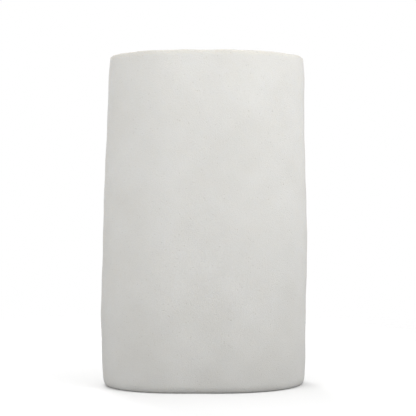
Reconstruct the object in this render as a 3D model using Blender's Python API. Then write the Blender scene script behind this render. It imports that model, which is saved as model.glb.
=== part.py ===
"""Egg-crate foam mattress topper, folded in half along its length and rolled up.

The slab lies folded with its egg-crate side inwards, so a cut across the roll shows
a doubled strip: a fold at the foot, two smooth backs, and two open cut edges at the top
with the wavy parting between them. The strip is wound into an oval roll that stands on
its fold, with the loose end at the back. Metres, +Z up, the front faces -Y.
"""

import math

import bmesh
import bpy
import numpy as np

# The slab
PAD_LENGTH = 1.778          # 70 in, the length that is wound up
PAD_WIDTH = 0.838           # 33 in, folded in half
ROLL_HEIGHT = PAD_WIDTH / 2
CRATE_PITCH = 0.0508        # from one peak of the egg crate to the next

# The winding
TURN_PITCH = 0.021          # from one turn of the doubled strip to the next
TURN_GAP = 0.0008           # air between one smooth back and the next
CORE_HALF_RUN = 0.020       # half of the straight run that the first turn folds round
FLATTENING = 1.2            # how much wider than deep the turns are pressed
HALF_TURNS = 9
STRIP = TURN_PITCH - TURN_GAP

# The parting between the two layers
LAYER_GAP = 0.0010
CRATE_DEPTH = 0.0042        # how far the parting swings to each side of the middle

# The ends of the strip
START_ROUNDING = 0.009      # the strip's first end is pressed round over this length
START_THICKNESS = 0.45      # of the strip's full thickness, left at that end
END_TAPER = 0.110           # the loose end is pressed thinner over this length
END_THICKNESS = 0.58        # of the strip's full thickness, left at the loose end
END_DETAIL = CRATE_PITCH / 4    # the parting shows its bumps up the end over this length

# The foot and the rim
FOOT_FLAT = 0.30            # half of the flat strip under the fold, in strip thicknesses
FOOT_SHOULDER = 0.43        # half of the strip a little above it
FOOT_SHOULDER_HEIGHT = 0.0035
RIM_SOFTENING = 0.0014      # how far the cut edges are rounded in
RIM_SWAY = 0.0022           # how far the turns stand out of line at the top
RIM_SWAY_LENGTH = 0.86      # from one high place of the rim to the next
RIM_SWAY_PHASE = 0.8
SIDE_HEIGHTS = (0.010, 0.040, 0.100, 0.220, 0.320, 0.374, 0.406)

# Stations along the strip
STEPS_PER_CRATE = 6
CORE_CRATES = 3             # the tight turns take stations twice as close
WINDING_STEP = 0.0005
SHARP_EDGE = math.radians(40.0)

# The roll's outline at a few heights
ROLL_ROWS = (
    # height, width, depth, lean to the right
    (0.000, 0.2572, 0.1800, -0.0014),
    (0.031, 0.2605, 0.1860, -0.0016),
    (0.085, 0.2633, 0.1900, -0.0023),
    (0.175, 0.2628, 0.1905, -0.0002),
    (0.275, 0.2567, 0.1890, 0.0005),
    (0.345, 0.2513, 0.1860, 0.0018),
    (0.392, 0.2493, 0.1805, 0.0026),
    (0.419, 0.2456, 0.1750, 0.0025),
)

# Soft unevenness of the surface: share of the radius, waves round the roll,
# waves up the roll, phase
DENT_ROWS = (
    (0.007, 2, 0.8, 1.1),
    (0.005, 3, 1.3, 2.6),
    (0.004, 5, 0.6, 0.4),
)

FOAM_COLOUR = (0.83, 0.82, 0.78, 1.0)


def clear_scene():
    for leftover in list(bpy.data.objects):
        bpy.data.objects.remove(leftover, do_unlink=True)


def smooth_step(value):
    value = np.clip(value, 0.0, 1.0)
    return value * value * (3.0 - 2.0 * value)


def winding():
    """The middle line of the strip and its outward normal, before it is flattened.

    Half circles that grow by half a pitch each are joined by straight runs, so every
    turn lies one pitch outside the last.
    """
    points = []
    normals = []

    def run(start_x, end_x, y):
        count = int(abs(end_x - start_x) / WINDING_STEP)
        facing = -1.0 if end_x > start_x else 1.0
        for x in np.linspace(start_x, end_x, count, endpoint=False):
            points.append((x, y))
            normals.append((0.0, facing))

    def half_circle(centre_x, centre_y, radius, start_angle):
        count = int(math.pi * radius / WINDING_STEP)
        for angle in start_angle + np.linspace(0.0, math.pi, count, endpoint=False):
            normal = (math.cos(angle), math.sin(angle))
            points.append((centre_x + radius * normal[0], centre_y + radius * normal[1]))
            normals.append(normal)

    run(-CORE_HALF_RUN - START_ROUNDING, CORE_HALF_RUN, 0.0)
    for half_turn in range(1, HALF_TURNS + 1):
        radius = half_turn * TURN_PITCH / 2
        if half_turn % 2:
            half_circle(CORE_HALF_RUN, TURN_PITCH / 2, radius, -math.pi / 2)
            run(CORE_HALF_RUN, -CORE_HALF_RUN, TURN_PITCH / 2 + radius)
        else:
            half_circle(-CORE_HALF_RUN, 0.0, radius, math.pi / 2)
            run(-CORE_HALF_RUN, CORE_HALF_RUN, -radius)
    return np.array(points), np.array(normals)


def stations():
    """Lengths along the strip, closer together where the turns are tight."""
    step = CRATE_PITCH / STEPS_PER_CRATE
    core_end = CORE_CRATES * CRATE_PITCH
    core = np.arange(0.0, core_end - step / 4, step / 2)
    rest = np.arange(core_end, PAD_LENGTH + step / 4, step)
    return np.concatenate([core, rest])


class Strip:
    """Places a point of the doubled strip: length along it, offset across it, height."""

    def __init__(self):
        points, normals = winding()
        points = points * (FLATTENING, 1.0)
        stretches = np.linalg.norm(np.diff(points, axis=0), axis=1)
        self.lengths = np.concatenate([[0.0], np.cumsum(stretches)])
        self.points = points
        self.normals = normals
        outer = points[self.lengths <= PAD_LENGTH]
        outer = outer + normals[:len(outer)] * (FLATTENING, 1.0) * STRIP / 2
        self.low = outer.min(axis=0)
        self.high = outer.max(axis=0)

    def edges(self, length):
        """The offsets of the inner and the outer smooth back."""
        start = smooth_step(length / START_ROUNDING) ** 0.5
        half = STRIP / 2 * (START_THICKNESS + (1.0 - START_THICKNESS) * start)
        left = PAD_LENGTH - length
        thinning = (1.0 - END_THICKNESS) * smooth_step(1.0 - left / END_TAPER) ** 2
        return -half, half - STRIP * thinning

    def parting(self, length, height, crated):
        """The offsets of the two egg-crate faces, nested into each other."""
        inner, outer = self.edges(length)
        middle = (inner + outer) / 2
        swing = 0.0
        if crated:
            turn = 2.0 * math.pi / CRATE_PITCH
            share = (outer - inner) / STRIP
            swing = CRATE_DEPTH * share * math.cos(turn * length)
            swing *= math.cos(turn * (ROLL_HEIGHT - height))
        return middle + swing - LAYER_GAP / 2, middle + swing + LAYER_GAP / 2

    def rim_height(self, length):
        """How high the cut edges stand, a little out of line from turn to turn."""
        sway = math.sin(2.0 * math.pi * length / RIM_SWAY_LENGTH + RIM_SWAY_PHASE)
        return ROLL_HEIGHT - RIM_SWAY * (1.0 + sway) / 2

    def place(self, length, offset, height):
        """From the strip's own measures to the roll, turned to bring its end to the back."""
        point = [np.interp(length, self.lengths, self.points[:, k]) for k in (0, 1)]
        normal = [np.interp(length, self.lengths, self.normals[:, k]) for k in (0, 1)]
        size = math.hypot(*normal)
        x = point[0] + offset * normal[0] / size * FLATTENING
        y = point[1] + offset * normal[1] / size
        middle = (self.low + self.high) / 2
        half = (self.high - self.low) / 2
        across = -(x - middle[0]) / half[0]
        back = -(y - middle[1]) / half[1]
        around = math.atan2(back, across)
        for share, round_waves, up_waves, phase in DENT_ROWS:
            up = math.cos(2.0 * math.pi * up_waves * height / ROLL_HEIGHT + phase)
            dent = 1.0 + share * math.sin(round_waves * around + phase) * up
            across *= dent
            back *= dent
        width, depth, lean = outline(height)
        return across * width / 2 + lean, back * depth / 2, height


def outline(height):
    """Width, depth and lean of the roll at a height, on a smooth curve through the rows."""
    rows = np.array(ROLL_ROWS)
    heights = rows[:, 0]
    k = int(np.clip(np.searchsorted(heights, height) - 1, 0, len(rows) - 2))
    slopes = np.gradient(rows[:, 1:], heights, axis=0)
    span = heights[k + 1] - heights[k]
    t = (height - heights[k]) / span
    return (
        (2 * t**3 - 3 * t**2 + 1) * rows[k, 1:]
        + (t**3 - 2 * t**2 + t) * span * slopes[k]
        + (3 * t**2 - 2 * t**3) * rows[k + 1, 1:]
        + (t**3 - t**2) * span * slopes[k + 1]
    )


def shell_profile(strip, length):
    """The smooth backs and the fold, from the outer rim round the foot to the inner rim."""
    inner, outer = strip.edges(length)
    middle = (inner + outer) / 2
    thick = outer - inner
    rim = strip.rim_height(length)
    profile = [(outer - RIM_SOFTENING, rim)]
    profile += [(outer, height) for height in reversed(SIDE_HEIGHTS)]
    profile.append((middle + FOOT_SHOULDER * thick, FOOT_SHOULDER_HEIGHT))
    profile.append((middle + FOOT_FLAT * thick, 0.0))
    profile.append((middle - FOOT_FLAT * thick, 0.0))
    profile.append((middle - FOOT_SHOULDER * thick, FOOT_SHOULDER_HEIGHT))
    profile += [(inner, height) for height in SIDE_HEIGHTS]
    profile.append((inner + RIM_SOFTENING, rim))
    return profile


def slot_profile(strip, length, fine):
    """The parting, down the outer layer's face and up the inner layer's."""
    rim = strip.rim_height(length)
    foot = STRIP / 2 + LAYER_GAP
    heights = [(rim, True)]
    if fine:
        count = int(ROLL_HEIGHT / CRATE_PITCH * STEPS_PER_CRATE)
        heights = [(height, True) for height in np.linspace(rim, foot + STRIP / 2, count)]
    heights.append((foot, False))
    down = [(strip.parting(length, height, crated)[1], height) for height, crated in heights]
    up = [(strip.parting(length, height, crated)[0], height) for height, crated in heights]
    return down + up[::-1]


def girth(vert, top_half):
    """How far round the fold a point lies: down the outer layer, then up the inner one."""
    height = vert.co.z
    return ROLL_HEIGHT - height if top_half else ROLL_HEIGHT + height


def zip_rows(mesh, row_a, row_b):
    """Triangles between two rows of points that may differ in number."""
    half_a, half_b = len(row_a) // 2, len(row_b) // 2
    a, b = 0, 0
    while a < len(row_a) - 1 or b < len(row_b) - 1:
        if b == len(row_b) - 1:
            step_a = True
        elif a == len(row_a) - 1:
            step_a = False
        else:
            next_a = girth(row_a[a + 1], a + 1 < half_a)
            next_b = girth(row_b[b + 1], b + 1 < half_b)
            step_a = next_a <= next_b
        if step_a:
            mesh.faces.new((row_a[a], row_a[a + 1], row_b[b]))
            a += 1
        else:
            mesh.faces.new((row_a[a], row_b[b + 1], row_b[b]))
            b += 1


def join_rows(mesh, row_a, row_b):
    """Four-sided faces between two like rows of points, or triangles between unlike ones."""
    if len(row_a) != len(row_b):
        zip_rows(mesh, row_a, row_b)
        return
    for k in range(len(row_a) - 1):
        mesh.faces.new((row_a[k], row_a[k + 1], row_b[k + 1], row_b[k]))


def stand_over_origin(mesh):
    """Move the roll so that the middle of its box is over the origin."""
    places = np.array([vert.co for vert in mesh.verts])
    middle = (places.min(axis=0) + places.max(axis=0)) / 2
    bmesh.ops.translate(mesh, verts=mesh.verts, vec=(-middle[0], -middle[1], 0.0))


def foam_material():
    material = bpy.data.materials.new("foam")
    material.use_nodes = True
    shader = material.node_tree.nodes["Principled BSDF"]
    shader.inputs["Base Color"].default_value = FOAM_COLOUR
    shader.inputs["Roughness"].default_value = 0.95
    shader.inputs["Metallic"].default_value = 0.0
    return material


def build_topper():
    strip = Strip()
    mesh = bmesh.new()
    lengths = stations()
    rows = []
    for length in lengths:
        fine = PAD_LENGTH - length < END_DETAIL
        row = []
        for profile in (shell_profile(strip, length), slot_profile(strip, length, fine)):
            row.append([mesh.verts.new(strip.place(length, *point)) for point in profile])
        rows.append(row)
    for (shell_a, slot_a), (shell_b, slot_b) in zip(rows, rows[1:]):
        join_rows(mesh, shell_a, shell_b)
        join_rows(mesh, slot_b, slot_a)
        mesh.faces.new((shell_a[0], shell_b[0], slot_b[0], slot_a[0]))
        mesh.faces.new((shell_b[-1], shell_a[-1], slot_a[-1], slot_b[-1]))
    zip_rows(mesh, *rows[0])
    zip_rows(mesh, rows[-1][1], rows[-1][0])
    bmesh.ops.recalc_face_normals(mesh, faces=mesh.faces)
    stand_over_origin(mesh)

    data = bpy.data.meshes.new("topper")
    mesh.to_mesh(data)
    mesh.free()
    data.materials.append(foam_material())
    data.shade_smooth()
    data.set_sharp_from_angle(angle=SHARP_EDGE)
    topper = bpy.data.objects.new("topper", data)
    bpy.context.collection.objects.link(topper)
    return topper


def main():
    clear_scene()
    build_topper()


main()
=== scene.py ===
"""Rolled egg-crate foam mattress topper: its finish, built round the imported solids.

The slab is modelled as a flat doubled strip, folded at the foot and open at the rim.
Geometry Nodes raise the egg-crate faces of its two layers and wind it up along a line.
The roll is then pressed to the outline of the solids. Metres, +Z up, the front faces -Y.
"""

import math

import bpy
import numpy as np
from bpy.props import FloatProperty, FloatVectorProperty, IntProperty, PointerProperty
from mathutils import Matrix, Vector


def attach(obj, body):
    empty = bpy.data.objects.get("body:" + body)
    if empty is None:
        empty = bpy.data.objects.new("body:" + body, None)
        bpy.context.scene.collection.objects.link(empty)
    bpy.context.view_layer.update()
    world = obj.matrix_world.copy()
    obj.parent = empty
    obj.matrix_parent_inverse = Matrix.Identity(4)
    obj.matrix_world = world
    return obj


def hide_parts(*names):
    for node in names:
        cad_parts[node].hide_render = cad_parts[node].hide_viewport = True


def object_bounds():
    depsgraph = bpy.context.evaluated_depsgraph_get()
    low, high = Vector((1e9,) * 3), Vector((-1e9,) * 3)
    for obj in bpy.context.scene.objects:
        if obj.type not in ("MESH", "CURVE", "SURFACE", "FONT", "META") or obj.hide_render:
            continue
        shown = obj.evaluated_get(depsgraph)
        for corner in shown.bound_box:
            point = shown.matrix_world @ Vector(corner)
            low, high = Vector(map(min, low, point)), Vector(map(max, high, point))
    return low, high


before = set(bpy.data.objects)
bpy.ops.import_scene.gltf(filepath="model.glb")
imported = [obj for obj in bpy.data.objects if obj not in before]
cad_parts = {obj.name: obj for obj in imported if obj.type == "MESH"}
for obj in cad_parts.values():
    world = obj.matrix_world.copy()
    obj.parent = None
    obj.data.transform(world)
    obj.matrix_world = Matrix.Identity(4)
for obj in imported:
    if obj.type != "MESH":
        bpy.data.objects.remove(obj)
CAD_LOW, CAD_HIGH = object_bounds()
CAD_MIDDLE = (CAD_LOW + CAD_HIGH) / 2

bl_info = {
    "name": "Rolled mattress topper",
    "version": (1, 0, 0),
    "blender": (4, 5, 0),
    "location": "View3D > Sidebar > Topper",
    "description": "Builds a rolled egg-crate foam mattress topper and a studio for it",
    "category": "Add Mesh",
}

BODY = "root"
NODE = "topper"

# The roll's outline at a few heights, pressed in towards both ends
ROLL_ROWS = (
    # height, width, depth, lean to the right
    (0.000, 0.2572, 0.1800, -0.0014),
    (0.031, 0.2605, 0.1860, -0.0016),
    (0.085, 0.2633, 0.1900, -0.0023),
    (0.175, 0.2628, 0.1905, -0.0002),
    (0.275, 0.2567, 0.1890, 0.0005),
    (0.345, 0.2513, 0.1860, 0.0018),
    (0.392, 0.2493, 0.1805, 0.0026),
    (0.419, 0.2456, 0.1750, 0.0025),
)

# Soft unevenness: share of the radius, waves round the roll, waves up it, phase
DENT_ROWS = (
    (0.007, 2, 0.8, 1.1),
    (0.005, 3, 1.3, 2.6),
    (0.004, 5, 0.6, 0.4),
)

# Widths of the soft waves in the strip's thickness, in its path and in its cut edges
THICKNESS_WAVE = 0.045
STRAY_WAVE = 0.090
SLICE_WAVE = 0.022
SLICE_DEPTH = 0.05          # from the rim down to where the cut's roughness has died out
SOFT_TOUCH = 0.0008         # how gently the gap closes where the layers touch
RIM_SWAY_PHASE = 0.8

# The waver of the loose end: share, height over which it turns by a radian, phase
WAVER_ROWS = (
    (1.0, 0.0310, 0.7),
    (0.6, 0.0122, 0.0),
)
WAVER_REACH = 0.04          # from the loose end to where its waver has died out

# Where the strip is cut across, and how many points go up each cut
WINDING_STEP = 0.0005
STEPS_PER_CRATE = 18
CORE_CRATES = 3             # bumps in the tight turns, which take cuts twice as close
FINE_END = 0.020            # before the loose end, where the parting can be seen
BACK_ROWS = (40, 16)        # up the outer back and up the inner one
SLOT_ROWS = 20
FINE_SLOT_ROWS = 74
END_ANGLES = np.radians((22.5, 45.0, 67.5, 90.0))     # steps round the loose end
SHARP_EDGE = math.radians(50.0)
NO_LENGTH = 1e-9            # shorter than any real length, so that nothing is divided by 0

# What each point of the strip carries: its bumps, its side of the gap, the strip's
# thickness there, how much it is cut foam, its place on the way round the fold, and its
# places along the strip and round the whole cut
CARRIED = ("crate", "part", "share", "cut", "girth", "along", "travel")
FOR_WINDING = ("crate", "part", "share")
FOR_MAP = ("along", "travel")

# The flat map that the finish can be baked on. The strip's skin is unrolled on it, with
# most room for the outer back of the last turn. Rows: way on the foam, place on the map
BAKE_MAP = "OFBake"
MAP_ALONG = ((0.0, 0.996), (1.04, 0.84), (1.78, 0.004))
MAP_TRAVEL = ((0.0, 0.405), (0.44, 0.88), (1.75, 0.996))
LEAST_TRAVEL = 0.0003       # between two points, so that every face has a width on the map
LONG_TRAVEL = 0.5           # a face with more joins the end of the way round to its start
RIM_PLACE = (0.27, 0.20)    # where the rim lies on the map, seen from above
RIM_SCALE = 1.95            # shares of the map for each metre
RIM_SLOPE = 0.5             # least upward part of a normal on the rim
RIM_DEPTH = 0.008           # deepest that the rim's faces reach
END_PLACE = (0.57, 0.02)    # where the strip's two ends lie on the map, seen from the side
END_SCALE = (3.7, 0.88)

# The foam's cells and bubbles, in widths of a cell or of their own spacing
CELL_WALL = (0.15, 0.60)    # from a cell's middle, where its wall starts and ends
CELL_RELIEF = 0.45          # height of a wall, in depths of a bubble
RELIEF_DEPTH = 0.6          # depth of a bubble
RELIEF_STRENGTH = 0.6
PORE_SPACING = 3.0
PORE_RADIUS = 0.30
HOLE_RADIUS = 0.085
BUBBLE_CHANCE = 0.5         # share of the places that have a bubble
BUBBLE_EDGE = 0.5           # width of a bubble's soft edge, in largest radii
PATCH_EDGE = (0.35, 0.65)   # values of the noise between which a patch fades in

# Shares of a colour that is mixed in. The cells' and bubbles' shares are painted shade,
# darker in their hollows
CUT_TINT = 0.6
CELL_PAINTED_SHADE = 0.22
BUBBLE_PAINTED_SHADE = 0.55
BACK_SHADE_STRENGTH = 0.7         # strength of the painted shade of the cells and bubbles on the smooth backs
CUT_SHADE_STRENGTH = 1.2          # and on the cut edges

FOAM_FINISH = {
    "Roughness": 0.93,
    "Specular IOR Level": 0.25,
    "Subsurface Weight": 0.2,
    "Subsurface Radius": (1.0, 0.9, 0.75),
    "Subsurface Scale": 0.005,
    "Sheen Weight": 0.08,
    "Sheen Roughness": 0.6,
}

FLOOR_SIDES = 96
FLOOR_ROUGHNESS = 0.9
FLOOR_FADE = (0.25, 0.70)   # shares of the radius between which the floor fades out

UPPER_FRONT = (0.03, CAD_LOW.y, 0.28)
UPPER_BACK = (0.0, CAD_HIGH.y, 0.28)
ROLL_MIDDLE = (0.0, 0.0, CAD_MIDDLE.z)

# Square lights: name, place, what it faces, width, power in watts
LIGHTS = (
    ("top_light", (0.0, 0.0, 2.6), ROLL_MIDDLE, 2.6, 20.0),
    ("key_light", (0.55, -0.62, 0.80), UPPER_FRONT, 0.6, 2.05),
    ("side_light", (1.00, -0.55, 0.60), UPPER_FRONT, 0.6, 4.75),
    ("fill_light", (-0.90, -0.90, 0.60), UPPER_FRONT, 0.7, 6.4),
    ("back_light", (-0.40, 1.20, 0.90), UPPER_BACK, 0.7, 10.0),
)

CAMERA_CLIP = (0.05, 50.0)


class TopperSlab(bpy.types.PropertyGroup):
    """The foam slab, folded in half along its length."""

    length: FloatProperty(
        name="Length", description="Length of the slab that is wound up",
        default=1.778, min=0.5, subtype="DISTANCE")
    height: FloatProperty(
        name="Folded width", description="Half of the slab's width, the roll's height",
        default=CAD_HIGH.z - CAD_LOW.z, min=0.1, subtype="DISTANCE")
    crate_pitch: FloatProperty(
        name="Bump pitch", description="From one foam bump to the next",
        default=0.0508, min=0.01, subtype="DISTANCE")
    crate_depth: FloatProperty(
        name="Bump depth", description="Swing of the pressed bumps to each side",
        default=0.0042, min=0.0, subtype="DISTANCE")
    crate_slip: FloatProperty(
        name="Slip", description="How far the two layers lie out of step",
        default=0.0085, min=0.0, subtype="DISTANCE")
    layer_gap: FloatProperty(
        name="Layer gap", description="Mean air between the two layers",
        default=0.0012, min=0.0, subtype="DISTANCE")
    least_gap: FloatProperty(
        name="Least gap", description="Air left where the layers press together",
        default=0.0003, min=0.0, subtype="DISTANCE")
    show_through: FloatProperty(
        name="Show-through", description="How far the bumps swell the smooth backs",
        default=0.0002, min=0.0, subtype="DISTANCE")


class TopperWinding(bpy.types.PropertyGroup):
    """How the doubled strip is wound and pressed."""

    turn_pitch: FloatProperty(
        name="Turn pitch", description="From one turn of the doubled strip to the next",
        default=0.021, min=0.005, subtype="DISTANCE")
    turn_gap: FloatProperty(
        name="Turn gap", description="Air between one smooth back and the next",
        default=0.0008, min=0.0, subtype="DISTANCE")
    core_half_run: FloatProperty(
        name="Core half run", description="Half of the straight run in the core",
        default=0.020, min=0.0, subtype="DISTANCE")
    half_turns: IntProperty(
        name="Half turns", description="Half turns of the winding line",
        default=9, min=1)
    flattening: FloatProperty(
        name="Flattening", description="How much wider than deep the turns are pressed",
        default=1.2, min=1.0)
    start_rounding: FloatProperty(
        name="Start rounding", description="Length over which the inner end is round",
        default=0.009, min=0.001, subtype="DISTANCE")
    start_thickness: FloatProperty(
        name="Start thickness", description="Share of the thickness at the inner end",
        default=0.45, min=0.05, max=1.0, subtype="FACTOR")
    end_taper: FloatProperty(
        name="End taper", description="Length over which the loose end is pressed thin",
        default=0.110, min=0.001, subtype="DISTANCE")
    end_thickness: FloatProperty(
        name="End thickness", description="Share of the thickness at the loose end",
        default=0.58, min=0.05, max=1.0, subtype="FACTOR")
    rim_sway: FloatProperty(
        name="Rim sway", description="How far the turns stand out of line at the top",
        default=0.0022, min=0.0, subtype="DISTANCE")
    rim_sway_length: FloatProperty(
        name="Rim sway length", description="From one high place of the rim to the next",
        default=0.86, min=0.1, subtype="DISTANCE")
    edge_rounding: FloatProperty(
        name="Edge rounding", description="How far the cut edges are rounded",
        default=0.0018, min=0.0, subtype="DISTANCE")
    end_waver: FloatProperty(
        name="End waver", description="How far the loose end strays from a straight line",
        default=0.0012, min=0.0, subtype="DISTANCE")
    unevenness: FloatProperty(
        name="Unevenness", description="How far the turns stray from their even line",
        default=0.0012, min=0.0, subtype="DISTANCE")
    thickness_swing: FloatProperty(
        name="Thickness swing", description="Share by which the strip's thickness varies",
        default=0.05, min=0.0, max=0.2, subtype="FACTOR")
    rim_roughness: FloatProperty(
        name="Rim roughness", description="How uneven the cut edges are sliced",
        default=0.0012, min=0.0, subtype="DISTANCE")


class TopperFoam(bpy.types.PropertyGroup):
    """The finish of the foam."""

    colour: FloatVectorProperty(
        name="Foam", description="Colour of the smooth back",
        default=(0.81, 0.806, 0.78), min=0.0, max=1.0, subtype="COLOR")
    patch_colour: FloatVectorProperty(
        name="Patches", description="Colour of the foam's slightly darker patches",
        default=(0.785, 0.777, 0.745), min=0.0, max=1.0, subtype="COLOR")
    cut_colour: FloatVectorProperty(
        name="Cut foam", description="Colour of the cut edges",
        default=(0.76, 0.735, 0.67), min=0.0, max=1.0, subtype="COLOR")
    # Painted shade: the colour that is mixed in where the foam's cells and bubbles are
    # hollow
    hollow_shade_colour: FloatVectorProperty(
        name="Hollows", description="Colour in the depth of the cells",
        default=(0.50, 0.47, 0.41), min=0.0, max=1.0, subtype="COLOR")
    cell_size: FloatProperty(
        name="Cell size", description="Width of a foam cell",
        default=0.0009, min=0.0001, subtype="DISTANCE")
    hole_spacing: FloatProperty(
        name="Hole spacing", description="From one wide bubble to the next",
        default=0.014, min=0.001, subtype="DISTANCE")
    patch_size: FloatProperty(
        name="Patch size", description="Width of the slightly darker patches",
        default=0.06, min=0.001, subtype="DISTANCE")


class TopperStudio(bpy.types.PropertyGroup):
    """The floor, the lights and the camera."""

    floor_radius: FloatProperty(
        name="Floor radius", description="Radius of the round floor",
        default=1.5, min=0.5, subtype="DISTANCE")
    floor_shown: FloatProperty(
        name="Floor brightness", description="Grey of the floor as the camera sees it",
        default=0.96, min=0.0, max=1.0, subtype="FACTOR")
    floor_bounce: FloatProperty(
        name="Floor bounce", description="Grey of the floor for the light it throws back",
        default=0.25, min=0.0, max=1.0, subtype="FACTOR")
    room_light: FloatProperty(
        name="Room light", description="Strength of the even light from all around",
        default=0.4, min=0.0)
    room_shown: FloatProperty(
        name="Room brightness", description="Brightness of the backdrop in the picture",
        default=1.0, min=0.0)
    camera_gap: FloatProperty(
        name="Camera distance", description="From the roll's front to the camera",
        default=1.457, min=0.2, subtype="DISTANCE")
    camera_height: FloatProperty(
        name="Camera height", description="Height of the camera",
        default=0.2258, min=0.0, subtype="DISTANCE")
    camera_shift: FloatProperty(
        name="Camera to the right", description="How far right of the roll it stands",
        default=0.0048, subtype="DISTANCE")
    lens: FloatProperty(
        name="Focal length", description="Focal length of the camera",
        default=104.3, min=10.0, unit="CAMERA")


class Wiring:
    """Short calls that add nodes to a tree and join them up."""

    def __init__(self, tree):
        self.tree = tree

    def add(self, kind, settings=None, inputs=None):
        node = self.tree.nodes.new(kind)
        for name, value in (settings or {}).items():
            setattr(node, name, value)
        for name, value in (inputs or {}).items():
            self.feed(node.inputs[name], value)
        return node

    def feed(self, socket, value):
        if isinstance(value, bpy.types.NodeSocket):
            self.tree.links.new(value, socket)
        else:
            socket.default_value = value

    def math(self, operation, *values):
        node = self.add("ShaderNodeMath", {"operation": operation})
        for socket, value in zip(node.inputs, values):
            self.feed(socket, value)
        return node.outputs[0]

    def product(self, first, *others):
        for other in others:
            first = self.math("MULTIPLY", first, other)
        return first

    def remap(self, value, low, high, to_low=0.0, to_high=1.0):
        """A value carried from one range to another and held at its ends."""
        node = self.add("ShaderNodeMapRange", inputs={
            "Value": value, "From Min": low, "From Max": high,
            "To Min": to_low, "To Max": to_high})
        return node.outputs[0]

    def mix(self, factor, colour_a, colour_b):
        """A colour between two others."""
        node = self.add("ShaderNodeMix", {"data_type": "RGBA"}, {
            "Factor": factor, "A": colour_a, "B": colour_b})
        return node.outputs["Result"]

    def parts(self, vector):
        """The three values of a vector."""
        return self.add("ShaderNodeSeparateXYZ", inputs={"Vector": vector}).outputs

    def vector(self, x, y, z):
        return self.add("ShaderNodeCombineXYZ", inputs={"X": x, "Y": y, "Z": z}).outputs[0]

    def noise(self, place, wave, reach):
        """Three smooth values that swing by about a third of the reach to each side."""
        texture = self.add("ShaderNodeTexNoise", inputs={
            "Vector": place, "Scale": 1.0 / wave, "Detail": 1.0})
        parts = self.parts(texture.outputs["Color"])
        return [self.product(self.math("SUBTRACT", part, 0.5), reach) for part in parts]

    def attribute(self, name):
        """A point attribute, read inside Geometry Nodes."""
        settings = {"data_type": "FLOAT"}
        node = self.add("GeometryNodeInputNamedAttribute", settings, {"Name": name})
        return node.outputs["Attribute"]


def smooth_step(value):
    value = np.clip(value, 0.0, 1.0)
    return value * value * (3.0 - 2.0 * value)


def winding_points(winding):
    """The middle line of the strip: half circles joined by straight runs.

    Each half circle is half a pitch wider than the last, so every turn lies one pitch
    outside the one before it.
    """
    run = winding.core_half_run
    pitch = winding.turn_pitch

    def straight(start_x, end_x, y):
        count = int(abs(end_x - start_x) / WINDING_STEP)
        across = np.linspace(start_x, end_x, count, endpoint=False)
        return np.column_stack([across, np.full(count, y)])

    def half_circle(centre, radius, start):
        count = int(math.pi * radius / WINDING_STEP)
        angle = start + np.linspace(0.0, math.pi, count, endpoint=False)
        return np.array(centre) + radius * np.column_stack([np.cos(angle), np.sin(angle)])

    pieces = [straight(-run - winding.start_rounding, run, 0.0)]
    for half_turn in range(1, winding.half_turns + 1):
        radius = half_turn * pitch / 2
        if half_turn % 2:
            pieces.append(half_circle((run, pitch / 2), radius, -math.pi / 2))
            pieces.append(straight(run, -run, pitch / 2 + radius))
        else:
            pieces.append(half_circle((-run, 0.0), radius, math.pi / 2))
            pieces.append(straight(-run, run, -radius))
    return np.concatenate(pieces) * (winding.flattening, 1.0)


def winding_line(points):
    """A poly curve that the strip is wound along."""
    curve = bpy.data.curves.new("winding_line", "CURVE")
    curve.dimensions = "3D"
    spline = curve.splines.new("POLY")
    spline.points.add(len(points) - 1)
    flat = np.zeros((len(points), 4), np.float32)
    flat[:, :2] = points
    spline.points.foreach_set("co", flat.ravel())
    line = bpy.data.objects.new("winding_line", curve)
    bpy.context.collection.objects.link(line)
    return line


def strip_thickness(winding):
    """Thickness of the doubled strip where nothing presses it thinner."""
    return winding.turn_pitch - winding.turn_gap


def strip_backs(length, slab, winding):
    """Offsets of the inner and the outer smooth back at a length along the strip."""
    thick = strip_thickness(winding)
    start = smooth_step(length / winding.start_rounding) ** 0.5
    half = thick / 2 * (winding.start_thickness + (1.0 - winding.start_thickness) * start)
    left = slab.length - length
    taper = smooth_step(1.0 - left / winding.end_taper) ** 2
    return -half, half - thick * (1.0 - winding.end_thickness) * taper


def spread(count, crowding=0.55):
    """Shares from 0 to 1, closer together towards both ends."""
    share = np.linspace(0.0, 1.0, count)
    return (1.0 - crowding) * share + crowding * (1.0 - np.cos(math.pi * share)) / 2


def spread_to_rim(count, crowding=0.78):
    """Shares from 1 down to 0, close together under the rim, where the parting shows."""
    share = np.linspace(0.0, 1.0, count)
    return 1.0 - ((1.0 - crowding) * share + crowding * share**4)


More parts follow.
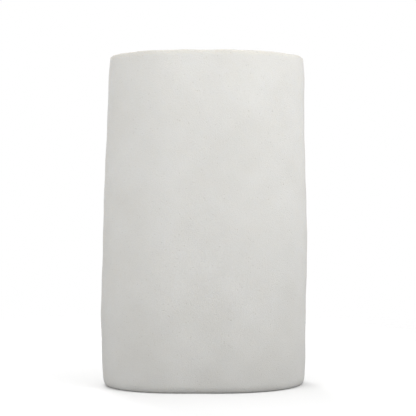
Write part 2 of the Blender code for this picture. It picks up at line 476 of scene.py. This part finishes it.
class Profile:
    """A cut across the doubled strip, with one row for each of its points.

    across: offset in strip thicknesses; up: share of the rim's height; rest: height that
    doesn't follow the rim; crate: weight of the bumps; part: signed weight of the gap;
    cut: how much it is cut foam; girth: place on the way round the fold.
    """

    COLUMNS = ("across", "up", "rest", "crate", "part", "cut", "girth")
    RIM_SHARES = (0.0, 0.05, 0.13, 0.27, 0.5, 0.73, 0.87, 0.95, 1.0)
    RIM_CROWN = 4               # power of the rim's crown: higher is flatter
    CUT_DEPTH = 0.002           # how far the colour of the cut reaches into the parting
    FOOT = 0.010
    FOOT_FLAT = 0.30            # half of the flat under the fold, in strip thicknesses
    FOOT_ANGLES = np.radians((18.0, 36.0, 54.0, 72.0, 90.0))
    SLOT_FOOT = 0.0112
    SLOT_CLOSING = 0.05         # share of the height over which the parting closes
    CLOSED_GAP = 0.1            # share of the gap that is left where it is closed
    FADE_START = 0.045          # depths under the rim between which the bumps fade out
    FADE_END = 0.085

    def __init__(self, height, rounding, slot_rows, whole_crate):
        self.height = height
        self.rounding = rounding
        shell = self.layer(BACK_ROWS[0], 1.0) + self.layer(BACK_ROWS[1], -1.0)[::-1]
        slots = [self.slot(slot_rows, side, whole_crate) for side in (1.0, -1.0)]
        self.rows = np.array(shell + slots[0] + slots[1][::-1])
        self.shell_count = len(shell)
        numbers = np.arange(len(self.rows))     # the loop takes the parting backwards
        self.loop = np.concatenate([numbers[:len(shell)], numbers[len(shell):][::-1]])

    def girth(self, depth, side):
        """Way round the fold: down the outer layer, then up the inner one."""
        return depth if side > 0 else 2.0 * self.height - depth

    def layer(self, rows, side):
        """One layer: across its rim, down its back and round to the middle of the foot."""
        points = []
        for share in reversed(self.RIM_SHARES):
            crown = -self.rounding * abs(2.0 * share - 1.0) ** self.RIM_CROWN
            across = side * 0.5 * (1.0 - share)
            girth = self.girth(0.0, side)
            points.append((across, 1.0, crown, share, side * share, 1.0, girth))
        for share in spread(rows)[::-1][1:]:
            rest = self.FOOT * (1.0 - share) - self.rounding * share
            girth = self.girth(self.height * (1.0 - share), side)
            points.append((side * 0.5, share, rest, 0.0, 0.0, 0.0, girth))
        girth = self.girth(self.height, side)
        for angle in self.FOOT_ANGLES:
            across = self.FOOT_FLAT + (0.5 - self.FOOT_FLAT) * math.cos(angle)
            rest = self.FOOT * (1.0 - math.sin(angle))
            points.append((side * across, 0.0, rest, 0.0, 0.0, 0.0, girth))
        points.append((side * self.FOOT_FLAT / 3, 0.0, 0.0, 0.0, 0.0, 0.0, girth))
        return points

    def slot(self, rows, side, whole_crate):
        """One layer's egg-crate face, from just under the rim down into the fold."""
        points = []
        shares = np.linspace(1.0, 0.0, rows) if whole_crate else spread_to_rim(rows)
        for share in shares[1:]:
            rest = self.SLOT_FOOT * (1.0 - share) - self.rounding * share
            depth = self.height * (1.0 - share)
            crate = 1.0
            if not whole_crate:
                fade = (depth - self.FADE_START) / (self.FADE_END - self.FADE_START)
                crate = 1.0 - float(smooth_step(fade))
            opening = float(smooth_step(share / self.SLOT_CLOSING))
            part = side * (self.CLOSED_GAP + (1.0 - self.CLOSED_GAP) * opening)
            cut = max(0.0, 1.0 - depth / self.CUT_DEPTH)
            girth = self.girth(depth, side)
            points.append((0.0, share, rest, crate * opening, part, cut, girth))
        return points


def strip_stations(slab):
    """Lengths along the strip, twice as close in the tight turns."""
    step = slab.crate_pitch / STEPS_PER_CRATE
    core_end = CORE_CRATES * slab.crate_pitch
    core = np.arange(0.0, core_end - step / 4, step / 2)
    rest = np.arange(core_end, slab.length - step / 4, step)
    return np.concatenate([core, rest, [slab.length]])


def rim_height(length, slab, winding):
    """How high the cut edges stand, a little out of line from turn to turn."""
    sway = math.sin(2.0 * math.pi * length / winding.rim_sway_length + RIM_SWAY_PHASE)
    return slab.height - winding.rim_sway * (1.0 + sway) / 2


def way_round(loop, places):
    """How far each point of a cut lies from its first one, along the loop round the cut."""
    steps = np.linalg.norm(np.diff(places[loop, 1:], axis=0), axis=1)
    travel = np.zeros(len(places))
    travel[loop[1:]] = np.cumsum(np.maximum(steps, LEAST_TRAVEL))
    return travel


def ring(profile, length, slab, winding):
    """The points of a cut across the strip at a length, and what each one carries."""
    inner, outer = strip_backs(length, slab, winding)
    rows = dict(zip(Profile.COLUMNS, profile.rows.T))
    thick = outer - inner
    heights = rim_height(length, slab, winding) * rows["up"] + rows["rest"]
    near_end = smooth_step((length - slab.length) / WAVER_REACH + 1.0)
    waver = sum(share * np.sin(heights / wave + phase) for share, wave, phase in WAVER_ROWS)
    places = np.column_stack([
        length + winding.end_waver * near_end * waver,
        (inner + outer) / 2 + thick * rows["across"],
        heights,
    ])
    share = np.full(len(heights), thick / strip_thickness(winding))
    along = np.full(len(heights), length)
    travel = way_round(profile.loop, places)
    carried = np.column_stack(
        [rows["crate"], rows["part"], share, rows["cut"], rows["girth"], along, travel])
    return places, carried


class StripMesh:
    """Collects the cuts across the strip and the faces between them."""

    def __init__(self):
        self.places = []
        self.carried = []
        self.faces = []
        self.count = 0

    def add_ring(self, places, carried, shell_count):
        """Add a cut, and give the numbers and girths of its shell and of its parting."""
        self.places.append(places)
        self.carried.append(carried)
        numbers = range(self.count, self.count + len(places))
        self.count += len(places)
        points = list(zip(numbers, carried[:, CARRIED.index("girth")]))
        return points[:shell_count], points[shell_count:]

    def join(self, ring_a, ring_b):
        """Faces between two neighbouring cuts: the shell, then the parting."""
        self.bridge(ring_a[0], ring_b[0])
        row_a, row_b = [[shell[0]] + slot + [shell[-1]] for shell, slot in (ring_a, ring_b)]
        self.bridge(row_b, row_a)

    def bridge(self, row_a, row_b):
        """Faces between two rows: four-sided where they have as many points."""
        if len(row_a) != len(row_b):
            self.zip_up(row_a, row_b)
            return
        a = [number for number, _ in row_a]
        b = [number for number, _ in row_b]
        self.faces += zip(a[:-1], a[1:], b[1:], b[:-1])

    def zip_up(self, row_a, row_b):
        """Triangles between two rows of points that may differ in number."""
        a, b = 0, 0
        while a < len(row_a) - 1 or b < len(row_b) - 1:
            at_end_a = a == len(row_a) - 1
            at_end_b = b == len(row_b) - 1
            if at_end_b or (not at_end_a and row_a[a + 1][1] <= row_b[b + 1][1]):
                self.faces.append((row_a[a][0], row_a[a + 1][0], row_b[b][0]))
                a += 1
            else:
                self.faces.append((row_a[a][0], row_b[b + 1][0], row_b[b][0]))
                b += 1

    def as_object(self, name):
        """The mesh, with what its points carry as attributes."""
        data = bpy.data.meshes.new(name)
        data.from_pydata(np.concatenate(self.places).tolist(), [], self.faces)
        carried = np.concatenate(self.carried).astype(np.float32)
        for attribute_name in (*FOR_WINDING, *FOR_MAP, "cut"):
            attribute = data.attributes.new(attribute_name, "FLOAT", "POINT")
            column = CARRIED.index(attribute_name)
            attribute.data.foreach_set("value", carried[:, column].copy())
        strip = bpy.data.objects.new(name, data)
        bpy.context.collection.objects.link(strip)
        return strip


def drawn_in(places, insets):
    """The closed outline of a cut, moved inwards to round the strip's end."""
    ahead = np.roll(places, -1, axis=0) - np.roll(places, 1, axis=0)
    normal = np.column_stack([np.zeros(len(places)), ahead[:, 2], -ahead[:, 1]])
    size = np.linalg.norm(normal, axis=1, keepdims=True)
    return places + insets[:, None] * normal / np.maximum(size, NO_LENGTH)


def add_rounded_end(mesh, profile, slab, winding):
    """Cuts that close in over the loose end, less so where the parting is shut."""
    shell_count = profile.shell_count
    loop = profile.loop
    opening = np.abs(profile.rows[:, Profile.COLUMNS.index("part")])
    opening[:shell_count] = 1.0
    rounding = winding.edge_rounding
    cut = CARRIED.index("cut")
    along = CARRIED.index("along")
    rings = []
    for angle in END_ANGLES:
        places, carried = ring(profile, slab.length, slab, winding)
        insets = rounding * opening[loop] * (1.0 - math.cos(angle))
        places[loop] = drawn_in(places[loop], insets)
        places[:, 0] += rounding * math.sin(angle)
        carried[:, cut] = np.maximum(carried[:, cut], math.sin(angle))
        carried[:, along] += rounding * math.sin(angle)
        rings.append(mesh.add_ring(places, carried, shell_count))
    return rings


def flat_strip(slab, winding):
    """The doubled strip before it is wound: x along it, y across it, z up."""
    plain = Profile(slab.height, winding.edge_rounding, SLOT_ROWS, whole_crate=False)
    fine = Profile(slab.height, winding.edge_rounding, FINE_SLOT_ROWS, whole_crate=True)
    mesh = StripMesh()
    rings = []
    for length in strip_stations(slab):
        profile = fine if slab.length - length < FINE_END else plain
        places, carried = ring(profile, length, slab, winding)
        rings.append(mesh.add_ring(places, carried, profile.shell_count))
    rings += add_rounded_end(mesh, fine, slab, winding)
    for ring_a, ring_b in zip(rings, rings[1:]):
        mesh.join(ring_a, ring_b)
    mesh.zip_up(rings[0][1], rings[0][0])
    mesh.zip_up(rings[-1][0], rings[-1][1])
    return mesh.as_object("foam_roll")


def raised_offset(w, given, place, below_rim):
    """Nodes that tell how far across the strip a point lies, its bumps raised."""
    along, across, _ = w.parts(place)
    turn = w.math("DIVIDE", 2.0 * math.pi, given["Bump pitch"])
    along_angle = w.product(turn, along)
    along_wave = w.math("COSINE", along_angle)
    up_wave = w.math("COSINE", w.product(turn, below_rim))
    swell = w.product(along_wave, up_wave, given["Show-through"])
    thickness = w.noise(place, THICKNESS_WAVE, given["Thickness swing"])[0]
    backs = w.product(across, w.math("ADD", thickness, 1.0))

    swing = w.product(
        given["Bump depth"], w.attribute("share"), w.attribute("crate"), up_wave)
    half_slip = w.product(turn, given["Slip"], 0.5)
    nested = w.product(swing, along_wave, w.math("COSINE", half_slip))
    apart = w.product(swing, w.math("SINE", along_angle), w.math("SINE", half_slip))
    half_gap = w.math("SUBTRACT", w.product(given["Layer gap"], 0.5), apart)
    half_gap = w.math("SMOOTH_MAX", half_gap, given["Least gap"], SOFT_TOUCH)
    own = w.product(half_gap, w.attribute("part"))
    return w.math("ADD", w.math("ADD", backs, swell), w.math("ADD", nested, own))


def wound_place(w, given, along, offset, up):
    """Nodes that carry a point of the flat strip to its place on the winding line."""
    line = w.add("GeometryNodeObjectInfo", inputs={"Object": given["Line"]})
    sample = w.add("GeometryNodeSampleCurve", {"mode": "LENGTH"}, {
        "Curves": line.outputs["Geometry"], "Length": along})
    centre = w.parts(sample.outputs["Position"])
    tangent = w.parts(sample.outputs["Tangent"])
    round_x = w.math("DIVIDE", tangent[0], given["Flattening"])
    squares = w.math("ADD", w.product(round_x, round_x), w.product(tangent[1], tangent[1]))
    size = w.math("SQRT", squares)
    out_x = w.product(w.math("DIVIDE", tangent[1], size), given["Flattening"])
    out_y = w.math("DIVIDE", w.product(round_x, -1.0), size)
    return w.vector(
        w.math("ADD", centre[0], w.product(out_x, offset)),
        w.math("ADD", centre[1], w.product(out_y, offset)),
        up)


def uneven_offset(w, given, wound, below_rim):
    """Nodes for the soft stray of the turns and the rough slice of the cut edges."""
    stray = w.noise(wound, STRAY_WAVE, given["Unevenness"])
    slice_up = w.noise(wound, SLICE_WAVE, given["Rim roughness"])[2]
    near_rim = w.remap(below_rim, 0.0, SLICE_DEPTH, 1.0, 0.0)
    return w.vector(stray[0], stray[1], w.product(slice_up, near_rim))


def add_input(tree, name, kind, default=None):
    """Add a named input to a node tree and give its identifier."""
    socket = tree.interface.new_socket(name=name, in_out="INPUT", socket_type=kind)
    if default is not None:
        socket.default_value = default
    return socket.identifier


def winding_tree(slab, winding, material):
    """Raises the egg-crate faces of the flat strip, then winds it along the line."""
    tree = bpy.data.node_groups.new("Wind up egg-crate strip", "GeometryNodeTree")
    tree.interface.new_socket(
        name="Geometry", in_out="OUTPUT", socket_type="NodeSocketGeometry")
    add_input(tree, "Geometry", "NodeSocketGeometry")
    line_input = add_input(tree, "Line", "NodeSocketObject")
    sizes = {
        "Bump pitch": slab.crate_pitch,
        "Bump depth": slab.crate_depth,
        "Slip": slab.crate_slip,
        "Layer gap": slab.layer_gap,
        "Least gap": slab.least_gap,
        "Show-through": slab.show_through,
        "Rim height": slab.height,
        "Flattening": winding.flattening,
        "Unevenness": winding.unevenness,
        "Thickness swing": winding.thickness_swing,
        "Rim roughness": winding.rim_roughness,
    }
    for name, value in sizes.items():
        add_input(tree, name, "NodeSocketFloat", value)
    w = Wiring(tree)
    given = w.add("NodeGroupInput").outputs
    place = w.add("GeometryNodeInputPosition").outputs[0]
    along, _, up = w.parts(place)
    below_rim = w.math("SUBTRACT", given["Rim height"], up)
    offset = raised_offset(w, given, place, below_rim)
    wound = wound_place(w, given, along, offset, up)
    moved = w.add("GeometryNodeSetPosition", inputs={
        "Geometry": given["Geometry"], "Position": wound,
        "Offset": uneven_offset(w, given, wound, below_rim)})
    real = w.add("GeometryNodeRealizeInstances", inputs={"Geometry": moved.outputs[0]})
    coated = w.add("GeometryNodeSetMaterial", inputs={
        "Geometry": real.outputs[0], "Material": material})
    w.add("NodeGroupOutput", inputs={"Geometry": coated.outputs[0]})
    return tree, line_input


def bake(piece, tree, inputs):
    """Give the piece the plain mesh that the node tree makes of it."""
    modifier = piece.modifiers.new(tree.name, "NODES")
    modifier.node_group = tree
    for identifier, value in inputs.items():
        modifier[identifier] = value
    bpy.context.view_layer.update()
    depsgraph = bpy.context.evaluated_depsgraph_get()
    mesh = bpy.data.meshes.new_from_object(piece.evaluated_get(depsgraph))
    piece.modifiers.remove(modifier)
    piece.data = mesh
    mesh.name = piece.name


def outline(height):
    """Width, depth and lean of the roll at each height, smooth through the rows."""
    rows = np.array(ROLL_ROWS)
    heights = rows[:, 0]
    k = np.clip(np.searchsorted(heights, height) - 1, 0, len(rows) - 2)
    slopes = np.gradient(rows[:, 1:], heights, axis=0)
    span = (heights[k + 1] - heights[k])[:, None]
    t = (height - heights[k])[:, None] / span
    values = (
        (2 * t**3 - 3 * t**2 + 1) * rows[k, 1:]
        + (t**3 - 2 * t**2 + t) * span * slopes[k]
        + (3 * t**2 - 2 * t**3) * rows[k + 1, 1:]
        + (t**3 - t**2) * span * slopes[k + 1]
    )
    return values.T


def wound_reach(points, slab, winding):
    """Lowest and highest corner of the winding with the strip's outer back."""
    steps = np.diff(points, axis=0)
    lengths = np.concatenate([[0.0], np.cumsum(np.linalg.norm(steps, axis=1))])
    ahead = np.gradient(points, axis=0) / (winding.flattening, 1.0)
    ahead /= np.linalg.norm(ahead, axis=1, keepdims=True)
    out = np.column_stack([ahead[:, 1] * winding.flattening, -ahead[:, 0]])
    outer = (points + out * strip_thickness(winding) / 2)[lengths <= slab.length]
    return outer.min(axis=0), outer.max(axis=0)


def pressed(places, low, high, slab):
    """The wound strip brought to the roll's outline, its loose end at the back."""
    middle = (low + high) / 2
    half = (high - low) / 2
    across = -(places[:, 0] - middle[0]) / half[0]
    back = -(places[:, 1] - middle[1]) / half[1]
    height = places[:, 2]
    around = np.arctan2(back, across)
    for share, round_waves, up_waves, phase in DENT_ROWS:
        up = np.cos(2.0 * math.pi * up_waves * height / slab.height + phase)
        dent = 1.0 + share * np.sin(round_waves * around + phase) * up
        across = across * dent
        back = back * dent
    width, depth, lean = outline(height)
    result = np.column_stack([across * width / 2 + lean, back * depth / 2, height])
    centre = (result.min(axis=0) + result.max(axis=0)) / 2
    result[:, 0] += CAD_MIDDLE.x - centre[0]
    result[:, 1] += CAD_MIDDLE.y - centre[1]
    return result


def numbers_of(items, name, kind=np.float32, width=1):
    """A property of every item, such as the place of every point."""
    values = np.zeros(len(items) * width, kind)
    items.foreach_get(name, values)
    return values.reshape(-1, width) if width > 1 else values


def press(mesh, low, high, slab):
    """Press a wound mesh to the roll's outline."""
    places = numbers_of(mesh.vertices, "co", width=3).astype(float)
    places = pressed(places, low, high, slab)
    mesh.vertices.foreach_set("co", places.astype(np.float32).ravel())
    mesh.update()


def add_bake_map(mesh, slab):
    """Lay the skin out flat, with the rim seen from above and the ends from the side."""
    first = numbers_of(mesh.polygons, "loop_start", np.int32)
    corners = numbers_of(mesh.polygons, "loop_total", np.int32)
    face = np.repeat(np.arange(len(first)), corners)
    point = numbers_of(mesh.loops, "vertex_index", np.int32)
    along, travel = [
        numbers_of(mesh.attributes[name].data, "value")[point] for name in FOR_MAP]
    x, y, z = numbers_of(mesh.vertices, "co", width=3)[point].T

    farthest = np.maximum.reduceat(travel, first)[face]
    travel = np.where(farthest - travel > LONG_TRAVEL, travel + travel.max(), travel)
    places = np.column_stack([
        np.interp(along, *np.transpose(MAP_ALONG)),
        np.interp(travel, *np.transpose(MAP_TRAVEL))])

    facing_up = numbers_of(mesh.polygons, "normal", width=3)[face, 2] > RIM_SLOPE
    lowest = np.minimum.reduceat(z, first)[face]
    on_rim = facing_up & (lowest > slab.height - RIM_DEPTH)
    from_above = np.column_stack([x, y]) * RIM_SCALE + RIM_PLACE
    places[on_rim] = from_above[on_rim]

    reach = np.maximum.reduceat(along, first) - np.minimum.reduceat(along, first)
    on_end = reach[face] < NO_LENGTH
    from_side = np.column_stack([y, z]) * END_SCALE + END_PLACE
    places[on_end] = from_side[on_end]

    layer = mesh.uv_layers.new(name=BAKE_MAP)
    layer.uv.foreach_set("vector", places.astype(np.float32).ravel())


def bubbles(w, place, spacing, radius):
    """Nodes for round hollows of mixed sizes up to a radius, in some of the places."""
    scatter = w.add("ShaderNodeTexVoronoi", inputs={"Vector": place, "Scale": 1.0 / spacing})
    colour = w.add("ShaderNodeSeparateColor", inputs={"Color": scatter.outputs["Color"]})
    size = w.remap(colour.outputs[0], 1.0 - BUBBLE_CHANCE, 1.0, 0.0, radius)
    depth = w.math("SUBTRACT", size, scatter.outputs["Distance"])
    return w.remap(depth, 0.0, radius * BUBBLE_EDGE)


def foam_material(foam):
    """Open-cell foam: fine cells, a few wide bubbles, rougher and warmer where it is cut,
    with painted shade darkening the hollows of its cells and bubbles.
    """
    material = bpy.data.materials.new("foam")
    material.use_nodes = True
    tree = material.node_tree
    shader = tree.nodes["Principled BSDF"]
    w = Wiring(tree)
    place = w.add("ShaderNodeTexCoord").outputs["Object"]
    cut = w.add("ShaderNodeAttribute", {"attribute_name": "cut"}).outputs["Fac"]

    cells = w.add("ShaderNodeTexVoronoi", inputs={
        "Vector": place, "Scale": 1.0 / foam.cell_size})
    walls = w.remap(cells.outputs["Distance"], *CELL_WALL)
    pores = bubbles(w, place, foam.cell_size * PORE_SPACING, PORE_RADIUS)
    holes = bubbles(w, place, foam.hole_spacing, HOLE_RADIUS)
    hollow = w.math("MAXIMUM", pores, holes)

    clouds = w.add("ShaderNodeTexNoise", inputs={
        "Vector": place, "Scale": 1.0 / foam.patch_size, "Detail": 2.0})
    patches = w.remap(clouds.outputs["Fac"], *PATCH_EDGE)
    colour = w.mix(patches, (*foam.colour, 1.0), (*foam.patch_colour, 1.0))
    colour = w.mix(w.product(cut, CUT_TINT), colour, (*foam.cut_colour, 1.0))
    # Painted shade: darker between the cell walls and in the bubbles, more so on the cut
    # edges
    painted_cell_shade = w.product(w.math("SUBTRACT", 1.0, walls), CELL_PAINTED_SHADE)
    painted_shade = w.math("MAXIMUM", painted_cell_shade, w.product(hollow, BUBBLE_PAINTED_SHADE))
    painted_shade = w.product(painted_shade, w.remap(cut, 0.0, 1.0, BACK_SHADE_STRENGTH, CUT_SHADE_STRENGTH))
    colour = w.mix(painted_shade, colour, (*foam.hollow_shade_colour, 1.0))
    w.feed(shader.inputs["Base Color"], colour)

    height = w.math("SUBTRACT", w.product(walls, CELL_RELIEF), hollow)
    relief = w.add("ShaderNodeBump", inputs={
        "Strength": RELIEF_STRENGTH, "Distance": foam.cell_size * RELIEF_DEPTH,
        "Height": height})
    w.feed(shader.inputs["Normal"], relief.outputs[0])
    for name, value in FOAM_FINISH.items():
        shader.inputs[name].default_value = value
    return material


class TOPPER_OT_foam_roll(bpy.types.Operator):
    """Wind the folded foam slab into the roll"""

    bl_idname = "topper.foam_roll"
    bl_label = "Foam roll"

    def execute(self, context):
        slab = context.scene.topper_slab
        winding = context.scene.topper_winding
        material = foam_material(context.scene.topper_foam)
        points = winding_points(winding)
        line = winding_line(points)
        piece = flat_strip(slab, winding)
        tree, line_input = winding_tree(slab, winding, material)
        bake(piece, tree, {line_input: line})
        bpy.data.objects.remove(line, do_unlink=True)

        press(piece.data, *wound_reach(points, slab, winding), slab)
        add_bake_map(piece.data, slab)
        for name in (*FOR_WINDING, *FOR_MAP):
            piece.data.attributes.remove(piece.data.attributes[name])
        piece.data.shade_smooth()
        piece.data.set_sharp_from_angle(angle=SHARP_EDGE)

        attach(piece, BODY)
        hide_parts(NODE)
        return {"FINISHED"}


def round_floor(radius):
    """A flat disc on the ground."""
    angles = np.linspace(0.0, 2.0 * math.pi, FLOOR_SIDES, endpoint=False)
    places = [(radius * math.cos(angle), radius * math.sin(angle), 0.0) for angle in angles]
    data = bpy.data.meshes.new("studio_floor")
    data.from_pydata(places, [], [list(range(FLOOR_SIDES))])
    return data


def floor_material(studio):
    """Pale matt floor that fades out towards its edge.

    It throws back less light than it shows, so the roll isn't lit from below.
    """
    material = bpy.data.materials.new("floor")
    material.use_nodes = True
    tree = material.node_tree
    shader = tree.nodes["Principled BSDF"]
    shader.inputs["Roughness"].default_value = FLOOR_ROUGHNESS
    w = Wiring(tree)
    seen = w.add("ShaderNodeLightPath").outputs["Is Camera Ray"]
    bounced = (*[studio.floor_bounce] * 3, 1.0)
    shown = (*[studio.floor_shown] * 3, 1.0)
    w.feed(shader.inputs["Base Color"], w.mix(seen, bounced, shown))
    place = w.add("ShaderNodeTexCoord").outputs["Object"]
    reach = w.add("ShaderNodeVectorMath", {"operation": "LENGTH"}, {0: place})
    fade_start, fade_end = [share * studio.floor_radius for share in FLOOR_FADE]
    fade = w.add("ShaderNodeMapRange", {"interpolation_type": "SMOOTHSTEP"}, {
        "Value": reach.outputs["Value"], "From Min": fade_start, "From Max": fade_end,
        "To Min": 1.0, "To Max": 0.0})
    w.feed(shader.inputs["Alpha"], fade.outputs[0])
    return material


def area_light(name, place, target, size, power):
    """A square light that faces the target and isn't seen by the camera."""
    light = bpy.data.lights.new(name, "AREA")
    light.size = size
    light.energy = power
    lamp = bpy.data.objects.new(name, light)
    lamp.location = place
    direction = Vector(target) - Vector(place)
    lamp.rotation_euler = direction.to_track_quat("-Z", "Y").to_euler()
    lamp.visible_camera = False
    bpy.context.collection.objects.link(lamp)


def studio_world(studio):
    """Even white light from all around, in front of a brighter white backdrop."""
    world = bpy.data.worlds.new("studio_light")
    world.use_nodes = True
    w = Wiring(world.node_tree)
    background = world.node_tree.nodes["Background"]
    background.inputs["Color"].default_value = (1.0, 1.0, 1.0, 1.0)
    seen = w.add("ShaderNodeLightPath").outputs["Is Camera Ray"]
    strength = w.remap(seen, 0.0, 1.0, studio.room_light, studio.room_shown)
    w.feed(background.inputs["Strength"], strength)
    return world


def studio_camera(studio):
    """A level camera in front of the roll."""
    camera = bpy.data.cameras.new("camera")
    camera.lens = studio.lens
    camera.clip_start, camera.clip_end = CAMERA_CLIP
    holder = bpy.data.objects.new("camera", camera)
    holder.location = (
        studio.camera_shift, CAD_LOW.y - studio.camera_gap, studio.camera_height)
    holder.rotation_euler = (math.pi / 2, 0.0, 0.0)
    bpy.context.collection.objects.link(holder)
    return holder


class TOPPER_OT_studio(bpy.types.Operator):
    """Set up the floor, the lights and the camera"""

    bl_idname = "topper.studio"
    bl_label = "Studio"

    def execute(self, context):
        studio = context.scene.topper_studio
        floor = bpy.data.objects.new("studio_floor", round_floor(studio.floor_radius))
        floor.data.materials.append(floor_material(studio))
        context.collection.objects.link(floor)
        for light in LIGHTS:
            area_light(*light)
        context.scene.world = studio_world(studio)
        context.scene.view_settings.view_transform = "Standard"
        context.scene.camera = studio_camera(studio)
        return {"FINISHED"}


class TOPPER_PT_panel(bpy.types.Panel):
    """Sizes and steps of the rolled topper"""

    bl_label = "Rolled mattress topper"
    bl_idname = "TOPPER_PT_panel"
    bl_space_type = "VIEW_3D"
    bl_region_type = "UI"
    bl_category = "Topper"

    def draw(self, context):
        for group in GROUPS:
            box = self.layout.box()
            settings = getattr(context.scene, group)
            for name in settings.bl_rna.properties.keys():
                if name not in ("rna_type", "name"):
                    box.prop(settings, name)
        for operator in OPERATORS:
            self.layout.operator(operator.bl_idname)


GROUPS = {
    "topper_slab": TopperSlab,
    "topper_winding": TopperWinding,
    "topper_foam": TopperFoam,
    "topper_studio": TopperStudio,
}
OPERATORS = (TOPPER_OT_foam_roll, TOPPER_OT_studio)
CLASSES = (*GROUPS.values(), *OPERATORS, TOPPER_PT_panel)


def register():
    for each in CLASSES:
        bpy.utils.register_class(each)
    for name, group in GROUPS.items():
        setattr(bpy.types.Scene, name, PointerProperty(type=group))


def unregister():
    for name in GROUPS:
        delattr(bpy.types.Scene, name)
    for each in reversed(CLASSES):
        bpy.utils.unregister_class(each)


def main():
    register()
    bpy.ops.topper.foam_roll()
    bpy.ops.topper.studio()


if __name__ == "__main__":
    main()
